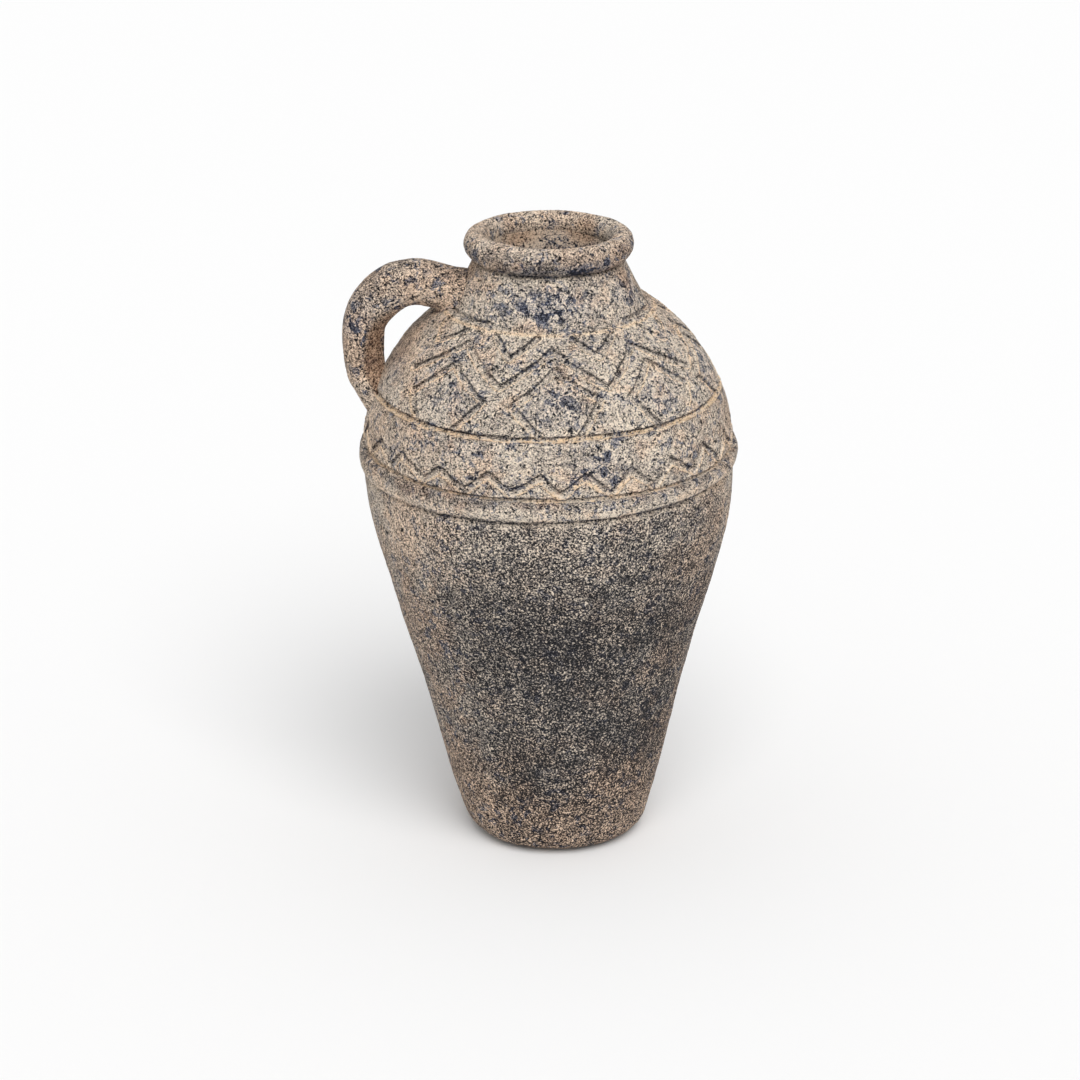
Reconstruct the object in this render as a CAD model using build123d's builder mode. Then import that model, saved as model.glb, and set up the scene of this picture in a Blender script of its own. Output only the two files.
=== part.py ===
from build123d import *
from math import ceil, cos, degrees, radians, sin, sqrt
import os

os.makedirs("parts", exist_ok=True)

# All sizes are in millimetres. The jar stands on z = 0 with its axis on Z and its handle on the -X side.
# It is hand built from courses of clay that are scored, slipped and luted one on another, and its small
# rounds, the heel, the cordon, the rim and the bends of the handle, are paddled into short flats.

# Floor slab, from the disc that it stands on to the foot of the wall
floor_thickness = 20.0
stand_radius = 62.6
foot_radius = 89.6
heel_flat = 6.0

# Lower wall, with heights taken from the top of the floor slab
wall = 12.0
lower_wall_height = 370.0
ankle_height = 40.0
ankle_radius = 101.6
waist_height = 150.0
waist_radius = 127.4
flank_height = 288.0
flank_inset = 8.4
belly_radius = 174.0

# Cordon, the strip of clay that covers the seam at the belly
cordon_height = 20.0
cordon_relief = 4.6
cordon_flat = 6.0

# Zigzag band above the seam, closed by a scored line
band_height = 62.5
scored_inset = 11.8
scored_line_width = 5.0
scored_line_depth = 3.0

# Shoulder dome, closed by the foot of the neck
shoulder_height = 79.0
shoulder_inset = 66.7

# Strokes cut with a wooden point, as V-shaped grooves of even depth
stroke_width = 6.0
stroke_depth = 2.4

# Diamonds on the shoulder, cut off at the scored line, with heights taken from that line. Angles are in
# degrees round from the jar's front, and those of a motif from its own middle.
diamond_count = 9
diamond_turn = 3.0
diamond_foot_angle = 7.0
diamond_foot_rise = 2.5
diamond_corner_angle = 15.0
diamond_corner_rise = 28.0
diamond_tip_rise = 52.5

# Zigzag over the diamonds, with a chevron hung between each two of its peaks
zigzag_valley_rise = 39.5
zigzag_peak_rise = 67.0
chevron_angle = 10.5
chevron_foot_rise = 62.5
chevron_top_rise = 75.0

# Saw-tooth on the band, with heights taken from the top of the cordon
saw_count = 24
saw_turn = -3.5
saw_foot_rise = 4.0
saw_tip_rise = 21.0

# Neck, with a ledge round its foot and a bore that is nearly straight, and the rolled rim, an oval coil
# pressed on its sloped top
neck_ledge_width = 6.5
neck_ledge_rise = 4.2
throat_radius = 57.5
throat_rise = 14.0
rim_rise = 55.5
rim_radius = 67.6
rim_width = 21.6
rim_height = 26.0
rim_bed_angle = -80.0
rim_roll_angle = 301.0
rim_flat = 5.2

# Handle, with heights taken from the foot of the neck at its top and from the scored line at its tail
handle_thickness = 41.0
handle_tail_thickness = 36.0
handle_width = 46.0
handle_span = 77.2
handle_rise = 33.0
handle_root_rise = 10.0
handle_root_depth = 22.0
handle_elbow_radius = 48.0
handle_bend_height = 0.5
handle_bend_radius = 108.0
handle_tail_drop = 42.0
handle_tail_depth = 21.0
handle_flat_turn = 13.0

# Roots of the handle, where it swells to meet the pot
upper_root_swell = 9.0
lower_root_swell = 7.0
root_length = 24.0
skin_tolerance = 0.001

# Radii that follow from the belly, and heights of the joints between the courses
flank_radius = belly_radius - flank_inset
scored_radius = belly_radius - scored_inset
neck_foot_radius = scored_radius - shoulder_inset
belly_z = floor_thickness + lower_wall_height
scored_z = belly_z + band_height
neck_z = scored_z + shoulder_height
rim_z = neck_z + rim_rise

# Points of the outer outline, as (radius, height)
stand = Vector(stand_radius, 0)
foot = Vector(foot_radius, floor_thickness)
ankle = Vector(ankle_radius, floor_thickness + ankle_height)
waist = Vector(waist_radius, floor_thickness + waist_height)
flank = Vector(flank_radius, floor_thickness + flank_height)
cordon_foot = Vector(belly_radius, belly_z - cordon_height / 2)
seam = Vector(belly_radius, belly_z)
cordon_top = Vector(belly_radius, belly_z + cordon_height / 2)
scored = Vector(scored_radius, scored_z)
neck_foot = Vector(neck_foot_radius, neck_z)
neck_ledge = Vector(neck_foot_radius - neck_ledge_width, neck_z + neck_ledge_rise)
throat = Vector(throat_radius, neck_z + throat_rise)
inward = Vector(-1, 0)


def along(start, end):
    return (end - start).normalized()


def across(direction):
    # Square to a direction, turned a quarter turn to the left
    return Vector(-direction.Y, direction.X)


def dome_centre(start, end):
    # Centre, on the jar's axis, of the sphere through two points of the outline
    return Vector(0, (start.dot(start) - end.dot(end)) / (start.Y - end.Y) / 2)


def flats(curve, flat_length):
    # The points along a curve where one flat ends and the next begins
    count = ceil(curve.length / flat_length)
    return [curve @ (step / count) for step in range(count + 1)]


# Direction of the wall where two courses meet, and the same points on the inner face
scored_rise = along(cordon_top, neck_foot)
neck_rise = along(scored, neck_ledge)
foot_inside = foot + inward * wall
waist_inside = waist + inward * wall
flank_inside = flank + inward * wall
seam_inside = seam + inward * wall
scored_inside = scored + across(scored_rise) * wall
neck_foot_inside = neck_foot + across(neck_rise) * wall

# Lips and bottom of the line scored where the band meets the shoulder
scored_lower_lip = scored - scored_rise * scored_line_width / 2
scored_upper_lip = scored + scored_rise * scored_line_width / 2
scored_bottom = scored + across(scored_rise) * scored_line_depth

# Domes of the band and the shoulder, and the middle of the shoulder's inner face
band_dome = dome_centre(cordon_top, scored_lower_lip)
band_radius = (cordon_top - band_dome).length
shoulder_dome = dome_centre(scored_upper_lip, neck_foot)
shoulder_radius = (neck_foot - shoulder_dome).length
shoulder_middle = (scored + neck_foot) / 2
shoulder_inside = shoulder_dome + along(shoulder_dome, shoulder_middle) * (shoulder_radius - wall)

# Small rounds of the outline
with BuildLine() as heel_curve:
    TangentArc(stand, foot, tangent=(1, 0))
with BuildLine() as cordon_curve:
    SagittaArc(cordon_foot, cordon_top, -cordon_relief)
with BuildLine() as rim_curve:
    EllipticalCenterArc(
        (rim_radius, rim_z), rim_width / 2, rim_height / 2, rim_bed_angle, arc_size=rim_roll_angle
    )
heel_flats = flats(heel_curve.edge(), heel_flat)
cordon_flats = flats(cordon_curve.edge(), cordon_flat)
rim_flats = flats(rim_curve.edge(), rim_flat)
neck_top = rim_flats[0]
neck_top_inside = rim_flats[-1]


def on_dome(dome, radius, angle, height):
    # A point of a dome, at so many degrees round from the front
    reach = sqrt(radius**2 - (height - dome.Y) ** 2)
    return Vector(reach * sin(radians(angle)), -reach * cos(radians(angle)), height)


def stroke(dome, start, end):
    # The V-shaped cut from one point of a dome to another, turned about the dome's centre
    centre = Vector(0, 0, dome.Y)
    outward = start - centre
    turn_axis = Axis(centre, outward.cross(end - centre))
    skin = outward.length
    with BuildPart() as cut:
        with BuildSketch(Plane(centre, x_dir=outward, z_dir=outward.cross(turn_axis.direction))):
            with BuildLine():
                Polyline(
                    (skin - stroke_depth, 0),
                    (skin + stroke_depth, stroke_width),
                    (skin + stroke_depth, -stroke_width),
                    close=True,
                )
            make_face()
        revolve(axis=turn_axis, revolution_arc=outward.get_angle(end - centre))
    return cut.part


def strokes(dome, radius, paths):
    # All cuts along paths of (angle, height) points on a dome
    cuts = []
    for path in paths:
        points = [on_dome(dome, radius, angle, height) for angle, height in path]
        cuts += [stroke(dome, start, end) for start, end in zip(points, points[1:])]
    return cuts


# Paths of the carved patterns, as (angle, height) points
diamond_pitch = 360 / diamond_count
shoulder_paths = []
for index in range(diamond_count):
    middle = diamond_turn + index * diamond_pitch
    between = middle + diamond_pitch / 2
    shoulder_paths.append([
        (middle - diamond_foot_angle, scored_z + diamond_foot_rise),
        (middle - diamond_corner_angle, scored_z + diamond_corner_rise),
        (middle, scored_z + diamond_tip_rise),
        (middle + diamond_corner_angle, scored_z + diamond_corner_rise),
        (middle + diamond_foot_angle, scored_z + diamond_foot_rise),
    ])
    shoulder_paths.append([
        (middle, scored_z + zigzag_peak_rise),
        (between, scored_z + zigzag_valley_rise),
        (middle + diamond_pitch, scored_z + zigzag_peak_rise),
    ])
    shoulder_paths.append([
        (between - chevron_angle, scored_z + chevron_top_rise),
        (between, scored_z + chevron_foot_rise),
        (between + chevron_angle, scored_z + chevron_top_rise),
    ])
saw_pitch = 360 / saw_count
saw_path = []
for index in range(saw_count):
    saw_path.append((saw_turn + index * saw_pitch, cordon_top.Y + saw_tip_rise))
    saw_path.append((saw_turn + (index + 0.5) * saw_pitch, cordon_top.Y + saw_foot_rise))
saw_path.append(saw_path[0])


# Floor slab with its rounded heel
with BuildPart() as floor_slab:
    with BuildSketch(Plane.XZ):
        with BuildLine():
            Polyline((0, 0), *heel_flats, (0, floor_thickness), close=True)
        make_face()
    revolve(axis=Axis.Z)
floor_slab.part.label = "floor_slab"


# Lower wall, a flare that is drawn in a little at the waist and turns upright at the belly
with BuildPart() as lower_wall:
    with BuildSketch(Plane.XZ):
        with BuildLine():
            TangentArc(flank, cordon_foot, tangent=along(waist, flank))
            Polyline(cordon_foot, seam, seam_inside, flank_inside, waist_inside, foot_inside, foot)
            Polyline(foot, ankle, waist, flank)
        make_face()
    revolve(axis=Axis.Z)
lower_wall.part.label = "lower_wall"


# Cordon, a flat coil pressed over the seam
with BuildPart() as belly_cordon:
    with BuildSketch(Plane.XZ):
        with BuildLine():
            Polyline(*cordon_flats, close=True)
        make_face()
    revolve(axis=Axis.Z)
belly_cordon.part.label = "belly_cordon"


# Zigzag band, the first course of the upper half
with BuildPart() as zigzag_band:
    with BuildSketch(Plane.XZ):
        with BuildLine():
            RadiusArc(cordon_top, scored_lower_lip, -band_radius)
            Polyline(scored_lower_lip, scored_bottom, scored_inside, seam_inside, seam, cordon_top)
        make_face()
    revolve(axis=Axis.Z)
    add(strokes(band_dome, band_radius, [saw_path]), mode=Mode.SUBTRACT)
zigzag_band.part.label = "zigzag_band"


# Shoulder, the domed course that closes in towards the neck
with BuildPart() as shoulder:
    with BuildSketch(Plane.XZ):
        with BuildLine():
            RadiusArc(scored_upper_lip, neck_foot, -shoulder_radius)
            Polyline(
                neck_foot, neck_foot_inside, shoulder_inside, scored_inside, scored_bottom, scored_upper_lip
            )
        make_face()
    revolve(axis=Axis.Z)
    add(strokes(shoulder_dome, shoulder_radius, shoulder_paths), mode=Mode.SUBTRACT)
shoulder.part.label = "shoulder"


# Neck, drawn in to the mouth, with a sloped top as a bed for the rim
with BuildPart() as neck:
    with BuildSketch(Plane.XZ):
        with BuildLine():
            Polyline(
                neck_foot, neck_ledge, neck_top, neck_top_inside, throat, neck_foot_inside, close=True
            )
        make_face()
    revolve(axis=Axis.Z)
neck.part.label = "neck"


# Rim, a thick coil rolled over the mouth
with BuildPart() as rim_roll:
    with BuildSketch(Plane.XZ):
        with BuildLine():
            Polyline(*rim_flats, close=True)
        make_face()
    revolve(axis=Axis.Z)
rim_roll.part.label = "rim_roll"


# The whole upper half as a filled form, whose skin shapes the ends of the handle
with BuildPart() as upper_form:
    with BuildSketch(Plane.XZ):
        with BuildLine():
            Polyline((0, belly_z), seam, cordon_top)
            RadiusArc(cordon_top, scored_lower_lip, -band_radius)
            Line(scored_lower_lip, scored_upper_lip)
            RadiusArc(scored_upper_lip, neck_foot, -shoulder_radius)
            Polyline(neck_foot, neck_ledge, neck_top, (0, neck_top.Y), (0, belly_z))
        make_face()
    revolve(axis=Axis.Z)


# Line that the handle's middle follows, from inside the neck over the elbow to inside the shoulder
upright_x = -(neck_foot_radius + handle_span)
with BuildLine(Plane.XZ) as handle_line:
    FilletPolyline(
        (handle_root_depth - neck_foot_radius, neck_z + handle_root_rise),
        (upright_x, neck_z + handle_rise),
        (upright_x, scored_z + handle_bend_height),
        (handle_tail_depth - scored_radius, scored_z - handle_tail_drop),
        radius=[handle_elbow_radius, handle_bend_radius],
    )
handle_wire = handle_line.wire()
tail = handle_wire.length


def station(distance):
    # A plane square to the handle's line, so far from its upper end, with its X across the handle
    share = distance / tail
    return Plane(handle_wire @ share, x_dir=(0, 1, 0), z_dir=handle_wire % share)


def skin_distance(buried, free):
    # How far along the handle's line it comes out of the pot, between a buried and a free distance
    while abs(free - buried) > skin_tolerance:
        middle = (buried + free) / 2
        if upper_form.part.solid().is_inside(station(middle).origin):
            buried = middle
        else:
            free = middle
    return buried


upper_skin = skin_distance(0, tail / 2)
lower_skin = skin_distance(tail, tail / 2)


def swell(distance):
    # How much wider than its strap the handle is near its roots
    upper_share = 1 - distance / (upper_skin + root_length)
    lower_share = 1 - (tail - distance) / (tail - lower_skin + root_length)
    return upper_root_swell * max(0, upper_share) + lower_root_swell * max(0, lower_share)


# Distances along the line where the handle changes: its ends, its roots and each small turn of its bends
changes = [0, upper_skin + root_length, lower_skin - root_length, tail]
travelled = 0
for edge in handle_line.edges():
    if edge.geom_type == GeomType.CIRCLE:
        count = ceil(degrees(edge.length / edge.radius) / handle_flat_turn)
        changes += [travelled + edge.length * step / count for step in range(count + 1)]
    travelled += edge.length


# Handle, an oval strap that thins towards its tail
with BuildPart() as handle:
    for distance in sorted(changes):
        thickness = handle_thickness + (handle_tail_thickness - handle_thickness) * distance / tail
        with BuildSketch(station(distance)):
            Ellipse(handle_width / 2 + swell(distance), thickness / 2 + swell(distance))
    loft(ruled=True)
    add(upper_form.part, mode=Mode.SUBTRACT)
handle.part.label = "handle"

pieces = [floor_slab, lower_wall, belly_cordon, zigzag_band, shoulder, neck, rim_roll, handle]
for piece in pieces:
    export_step(piece.part, f"parts/{piece.part.label}.step")
    size = piece.part.bounding_box().size
    print(piece.part.label, len(piece.part.solids()), round(piece.part.volume), size)
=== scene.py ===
import math
from functools import partial

import bpy
import numpy as np
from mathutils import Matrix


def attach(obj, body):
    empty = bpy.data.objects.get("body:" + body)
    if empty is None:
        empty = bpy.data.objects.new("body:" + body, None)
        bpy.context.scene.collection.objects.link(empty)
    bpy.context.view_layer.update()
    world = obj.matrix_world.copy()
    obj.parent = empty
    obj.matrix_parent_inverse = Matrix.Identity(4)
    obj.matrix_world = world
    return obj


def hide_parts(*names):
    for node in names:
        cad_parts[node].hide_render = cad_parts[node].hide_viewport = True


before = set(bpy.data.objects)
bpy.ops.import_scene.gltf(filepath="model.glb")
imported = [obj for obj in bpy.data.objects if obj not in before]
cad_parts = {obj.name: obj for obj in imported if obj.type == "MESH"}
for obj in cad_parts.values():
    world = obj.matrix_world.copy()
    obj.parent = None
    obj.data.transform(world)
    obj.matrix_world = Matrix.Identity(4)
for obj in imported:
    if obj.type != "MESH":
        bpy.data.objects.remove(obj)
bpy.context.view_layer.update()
scene = bpy.context.scene
mm = 0.001
seed = 31
rng = np.random.default_rng(seed)


def linearColour(code):
    # an sRGB hex colour as the linear values that the shaders take
    parts = [int(code[i:i + 2], 16) / 255 for i in (1, 3, 5)]
    return [p / 12.92 if p <= 0.04045 else ((p + 0.055) / 1.055) ** 2.4 for p in parts] + [1.0]


def addNode(tree, kind, inputs=(), **settings):
    # one node with its settings; inputs go by place or by name, and a node or a socket among them is linked
    node = tree.nodes.new(kind)
    for name, value in settings.items():
        setattr(node, name, value)
    for key, value in inputs.items() if isinstance(inputs, dict) else enumerate(inputs):
        if isinstance(value, bpy.types.Node):
            value = value.outputs[0]
        if isinstance(value, bpy.types.NodeSocket):
            tree.links.new(value, node.inputs[key])
        else:
            node.inputs[key].default_value = value
    return node


# kinds and settings that many nodes share
smooth = {"kind": "ShaderNodeMapRange", "interpolation_type": "SMOOTHSTEP"}
times, plus, less, divided, timesPlus, least, most, absolute = (
    {"kind": "ShaderNodeMath", "operation": operation} for operation in
    ("MULTIPLY", "ADD", "SUBTRACT", "DIVIDE", "MULTIPLY_ADD", "MINIMUM", "MAXIMUM", "ABSOLUTE"))


# the jar's skin, read from the CAD nodes: spans have a first and a last height and a step in mm
skinTable = {"spans": [("floor_slab", 1, 19, 2), ("lower_wall", 21, 379, 4), ("zigzag_band", 402, 446, 4),
                       ("shoulder", 459, 530, 3), ("neck", 533, 573, 2)],
             "step": 0.5 * mm, "count": 1161, "slowReach": 28, "quickReach": 5,
             "gentle": ([0, 0.03, 0.06, 0.48, 0.51, 0.58], [0, 0, 1, 1, 0, 0])}
neckBead = {"height": 530.2 * mm, "reach": 1.4 * mm, "rise": 1.5 * mm, "ridgeHighlight": 0.55}


def meshPoints(mesh):
    points = np.empty(len(mesh.vertices) * 3)
    mesh.vertices.foreach_get("co", points)
    return points.reshape(-1, 3)


def outlineRadii(nodeName, heights):
    # the largest radius at which the node's edges cross each height
    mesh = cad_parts[nodeName].data
    points = meshPoints(mesh)
    ends = np.empty(len(mesh.edges) * 2, np.int32)
    mesh.edges.foreach_get("vertices", ends)
    first, second = points[ends[0::2]], points[ends[1::2]]
    radii = []
    for height in heights:
        crossed = (first[:, 2] - height) * (second[:, 2] - height) < 0
        low, high = first[crossed], second[crossed]
        where = low + (high - low) * ((height - low[:, 2]) / (high[:, 2] - low[:, 2]))[:, None]
        radii.append(np.hypot(where[:, 0], where[:, 1]).max())
    return radii


def smoothed(values, reach):
    # a Gaussian blur along the table, with the ends held
    steps = np.arange(-4 * reach, 4 * reach + 1)
    weights = np.exp(-0.5 * (steps / reach) ** 2)
    padded = np.pad(values, 4 * reach, mode="reflect", reflect_type="odd")
    return np.convolve(padded, weights / weights.sum(), mode="valid")


readHeights, readRadii = [], []
for nodeName, low, high, step in skinTable["spans"]:
    heights = np.arange(low, high + 1, step) * mm
    readHeights += list(heights)
    readRadii += outlineRadii(nodeName, heights)
tableZ = np.arange(0, skinTable["count"]) * skinTable["step"]
tableR = np.interp(tableZ, readHeights, readRadii)
slow, quick = smoothed(tableR, skinTable["slowReach"]), smoothed(tableR, skinTable["quickReach"])
gentle = np.interp(tableZ, *skinTable["gentle"])     # 1 on the plain walls, 0 at the heel and the neck
tableR = slow * gentle + quick * (1 - gentle)
tableR += neckBead["rise"] * np.exp(-0.5 * ((tableZ - neckBead["height"]) / neckBead["reach"]) ** 2)
print("skin read from", len(readHeights), "heights")


def skinRadius(height):
    return np.interp(height, tableZ, tableR)


def beadHighlight(height):
    # a painted highlight along the bead at the foot of the neck
    return neckBead["ridgeHighlight"] * np.exp(-((height - neckBead["height"]) / neckBead["reach"]) ** 2)


def skinNormal(height):
    # the outline's outward direction as (radial, upward)
    slope = (skinRadius(height + mm) - skinRadius(height - mm)) / (2 * mm)
    length = np.hypot(1, slope)
    return np.stack([1 / length, -slope / length], -1)


def skinRows(low, high, step):
    # rows evenly spaced along the outline: radius, height, outward direction, 1 for the open skin
    fine = np.linspace(low, high, 2000)
    radii = skinRadius(fine)
    travel = np.concatenate([[0], np.cumsum(np.hypot(np.diff(fine), np.diff(radii)))])
    count = int(round(travel[-1] / step))
    heights = np.interp(np.linspace(0, travel[-1], count + 1), travel, fine)
    return np.column_stack([skinRadius(heights), heights, skinNormal(heights), np.ones(count + 1)])


def insideRows(rows, wall, count):
    # the hidden inner face: the open skin sunk by the wall, from its last row back to its first
    picked = rows[np.linspace(len(rows) - 1, 0, count).round().astype(int)]
    sunk = picked[:, :2] - picked[:, 2:4] * wall
    return np.column_stack([sunk, np.zeros((count, 3))])


def addPointData(mesh, outward=None, **fields):
    if outward is not None:
        mesh.attributes.new("outward", "FLOAT_VECTOR", "POINT").data.foreach_set("vector", np.ravel(outward))
    for name, values in fields.items():
        mesh.attributes.new(name, "FLOAT", "POINT").data.foreach_set("value", np.ravel(values))


def latheMesh(name, rows, segments, poles=False, tones=None):
    # rows turned round Z into a closed skin; with poles the first and last rows lie on the axis
    rows = np.asarray(rows, float)
    area = np.sum(rows[:, 0] * np.roll(rows[:, 1], -1) - np.roll(rows[:, 0], -1) * rows[:, 1])
    turn = np.linspace(0, 2 * math.pi, segments, endpoint=False)
    ring = np.stack([np.sin(turn), -np.cos(turn)], -1)
    body = rows[1:-1] if poles else rows
    count = len(body)
    flat = (body[:, None, 0:1] * ring[None]).reshape(-1, 2)
    points = np.column_stack([flat, np.repeat(body[:, 1], segments)])
    lean = (body[:, None, 2:3] * ring[None]).reshape(-1, 2)
    outward = np.column_stack([lean, np.repeat(body[:, 3], segments)])
    skin = np.repeat(body[:, 4], segments)
    here = np.arange(segments)
    ahead = (here + 1) % segments
    faces = []
    for row in range(count - 1 if poles else count):
        low, high = row * segments, (row + 1) % count * segments
        faces.append(np.stack([low + here, low + ahead, high + ahead, high + here], -1))
    faces = np.concatenate(faces).tolist()
    if poles:
        points = np.vstack([points, [0, 0, rows[0, 1]], [0, 0, rows[-1, 1]]])
        outward = np.vstack([outward, np.zeros((2, 3))])
        skin = np.append(skin, [0, 0])
        low, top = len(points) - 2, len(points) - 1
        last = (count - 1) * segments
        faces += [[low, int(b), int(a)] for a, b in zip(here, ahead)]
        faces += [[last + int(a), last + int(b), top] for a, b in zip(here, ahead)]
    if area < 0:
        faces = [face[::-1] for face in faces]
    mesh = bpy.data.meshes.new(name)
    mesh.from_pydata(points.tolist(), [], faces)
    tone = np.zeros(len(points)) if tones is None else np.repeat(tones, segments)
    addPointData(mesh, outward, skin=skin, tone=tone)
    return mesh


spotEdge = 1.6     # how sharply a spot of wash or stain ends


def addSpots(mesh, **fields):
    # wash or stain in soft ovals: each has its middle's angle and height, its reach in both, and its strength
    points = meshPoints(mesh)
    around = np.degrees(np.arctan2(points[:, 0], -points[:, 1]))
    for name, spots in fields.items():
        values = np.zeros(len(points))
        for angle, height, reachAngle, reachHeight, strength in spots:
            turn = (around - angle + 180) % 360 - 180
            far = np.hypot(turn / reachAngle, (points[:, 2] / mm - height) / reachHeight)
            values = np.maximum(values, strength * np.clip(spotEdge - spotEdge * far, 0, 1))
        addPointData(mesh, **{name: values})


# hand-cut lines: heights in mm, angles in degrees round from the front, as in the solids; a line that goes right
# round has its height and its sway
carving = {"diamonds": 9, "turn": 3, "foot": (7, 455), "corner": (15, 480.5), "tip": 505,
           "valley": 492, "peak": 519.5, "chevronAngle": 10.5, "chevronLean": 1, "chevronFoot": 515,
           "chevronTop": 527.5, "smeared": 7,
           "teeth": 24, "sawTurn": -3.5, "sawFoot": 404, "sawTip": 421,
           # the rim's foot line and the cordon's low line are darkened in the material as painted shade in the
           # creases under the rim and the cordon
           "scored": (453.5, 1.6), "cordonTop": (399.4, 0), "cordonLow": (376.8, 4), "rimFoot": (576.2, 0.6),
           "neckFoot": 534.2, "neckArcs": [(-76, -36), (48, 76)],
           "strayAngle": 0.5, "strayHeight": 0.8, "stepAngle": 1.5, "stepHeight": 4, "waver": (0.5, 5, 40)}
# where the hand strayed in front, in degrees and mm: a diamond's five corners from its left foot to its right foot
diamondStrays = {8: [(-5, 1), (-3.5, -6), (-4, -0.5), (-2, -1), (-2.5, 0.5)],
                 0: [(0.5, 2), (-1, -2), (-1, 0.5), (0.5, 2.5), (0.5, 2)],
                 1: [(2.5, 1), (2.5, 1.5), (0.5, 0.5), (0.5, -0.5), (1, 1)]}
peakStrays = {8: (-3, 0.5), 0: (-1.5, 1), 1: (-2.5, 0)}
valleyStrays = {7: (-5, -2), 8: (-1.5, 0), 0: (0, -0.5), 1: (2.5, -3)}
toothStrays = {0: (1, 0), 1: (-0.5, 0), 2: (-1, 1), 3: (-1.5, 3), 4: (-0.5, 4),
               21: (-3, -1), 22: (-2, -3), 23: (0, 0)}


def onSkin(angle, height):
    radius = skinRadius(height * mm)
    turn = math.radians(angle)
    return (radius * math.sin(turn), -radius * math.cos(turn), height * mm)


def lineMesh(name, lines):
    # edges laid on the skin, in short steps so that they follow its curve
    points, edges = [], []
    for line in lines:
        for (a0, z0), (a1, z1) in zip(line, line[1:]):
            count = max(2, int(abs(a1 - a0) / carving["stepAngle"]) + int(abs(z1 - z0) / carving["stepHeight"]))
            start = len(points)
            for step in range(count + 1):
                share = step / count
                points.append(onSkin(a0 + (a1 - a0) * share, z0 + (z1 - z0) * share))
            edges += [(start + step, start + step + 1) for step in range(count)]
    mesh = bpy.data.meshes.new(name)
    mesh.from_pydata(points, edges, [])
    thing = bpy.data.objects.new(name, mesh)
    scene.collection.objects.link(thing)
    return thing


def strayed(angle, height, stray=None):
    # a corner of the pattern as the hand put it
    turn, rise = stray or (rng.normal(0, carving["strayAngle"]), rng.normal(0, carving["strayHeight"]))
    return (angle + turn, height + rise)


def shoulderPattern():
    # diamonds cut off at the scored line, a zigzag over them, and chevrons hung between its peaks
    count, pitch = carving["diamonds"], 360 / carving["diamonds"]
    (footAngle, footHeight), (cornerAngle, cornerHeight) = carving["foot"], carving["corner"]
    lines, peaks, valleys = [], [], []
    for index in range(count):
        middle = carving["turn"] + index * pitch
        between = middle + pitch / 2
        corners = [(middle - footAngle, footHeight), (middle - cornerAngle, cornerHeight), (middle, carving["tip"]),
                   (middle + cornerAngle, cornerHeight), (middle + footAngle, footHeight)]
        strays = diamondStrays.get(index, [None] * len(corners))
        if index != carving["smeared"]:
            lines.append([strayed(*corner, stray) for corner, stray in zip(corners, strays)])
        peaks.append(strayed(middle, carving["peak"], peakStrays.get(index)))
        valleys.append(strayed(between, carving["valley"], valleyStrays.get(index)))
        if index != carving["smeared"] - 1:
            lines.append([strayed(between - carving["chevronAngle"], carving["chevronTop"]),
                          strayed(between - carving["chevronLean"], carving["chevronFoot"]),
                          strayed(between + carving["chevronAngle"], carving["chevronTop"])])
    for index in range(count):
        angle, height = peaks[(index + 1) % count]
        angle += 360 if index == count - 1 else 0
        bend = [peaks[index], valleys[index], (angle, height)]
        if index == carving["smeared"]:
            bend = bend[1:]
        if index == carving["smeared"] - 1:
            bend = bend[:2]
        lines.append(bend)
    return lines


def sawPattern():
    # one tooth after another round the band
    count, pitch = carving["teeth"], 360 / carving["teeth"]
    line = []
    for index in range(count):
        angle = carving["sawTurn"] + index * pitch
        line.append(strayed(angle, carving["sawTip"], toothStrays.get(index)))
        line.append(strayed(angle + pitch / 2, carving["sawFoot"]))
    line.append((line[0][0] + 360, line[0][1]))
    return [line]


def hoop(height, sway):
    # a line drawn right round, a little lower on the handle's side, that wavers
    amount, waves, start = carving["waver"]
    return [[(a, height + sway * math.sin(math.radians(a)) + amount * math.sin(math.radians(a * waves + start)))
             for a in range(-180, 181, 3)]]


shoulderLines = lineMesh("shoulderLines", shoulderPattern())
bandLines = lineMesh("bandLines", sawPattern())
scoredLines = lineMesh("scoredLines", hoop(*carving["scored"]) + hoop(*carving["cordonTop"]))
neckArcs = [[(start, carving["neckFoot"]), (end, carving["neckFoot"])] for start, end in carving["neckArcs"]]
neckLines = lineMesh("neckLines", hoop(*carving["rimFoot"]) + neckArcs)
seamLines = lineMesh("seamLines", hoop(*carving["cordonLow"]))
plainLines = lineMesh("plainLines", [[(0, 2000), (1, 2000)]])     # far above the jar, for a piece without lines
print("cut lines laid:", len(shoulderLines.data.edges), "and", len(bandLines.data.edges), "edges")
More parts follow.
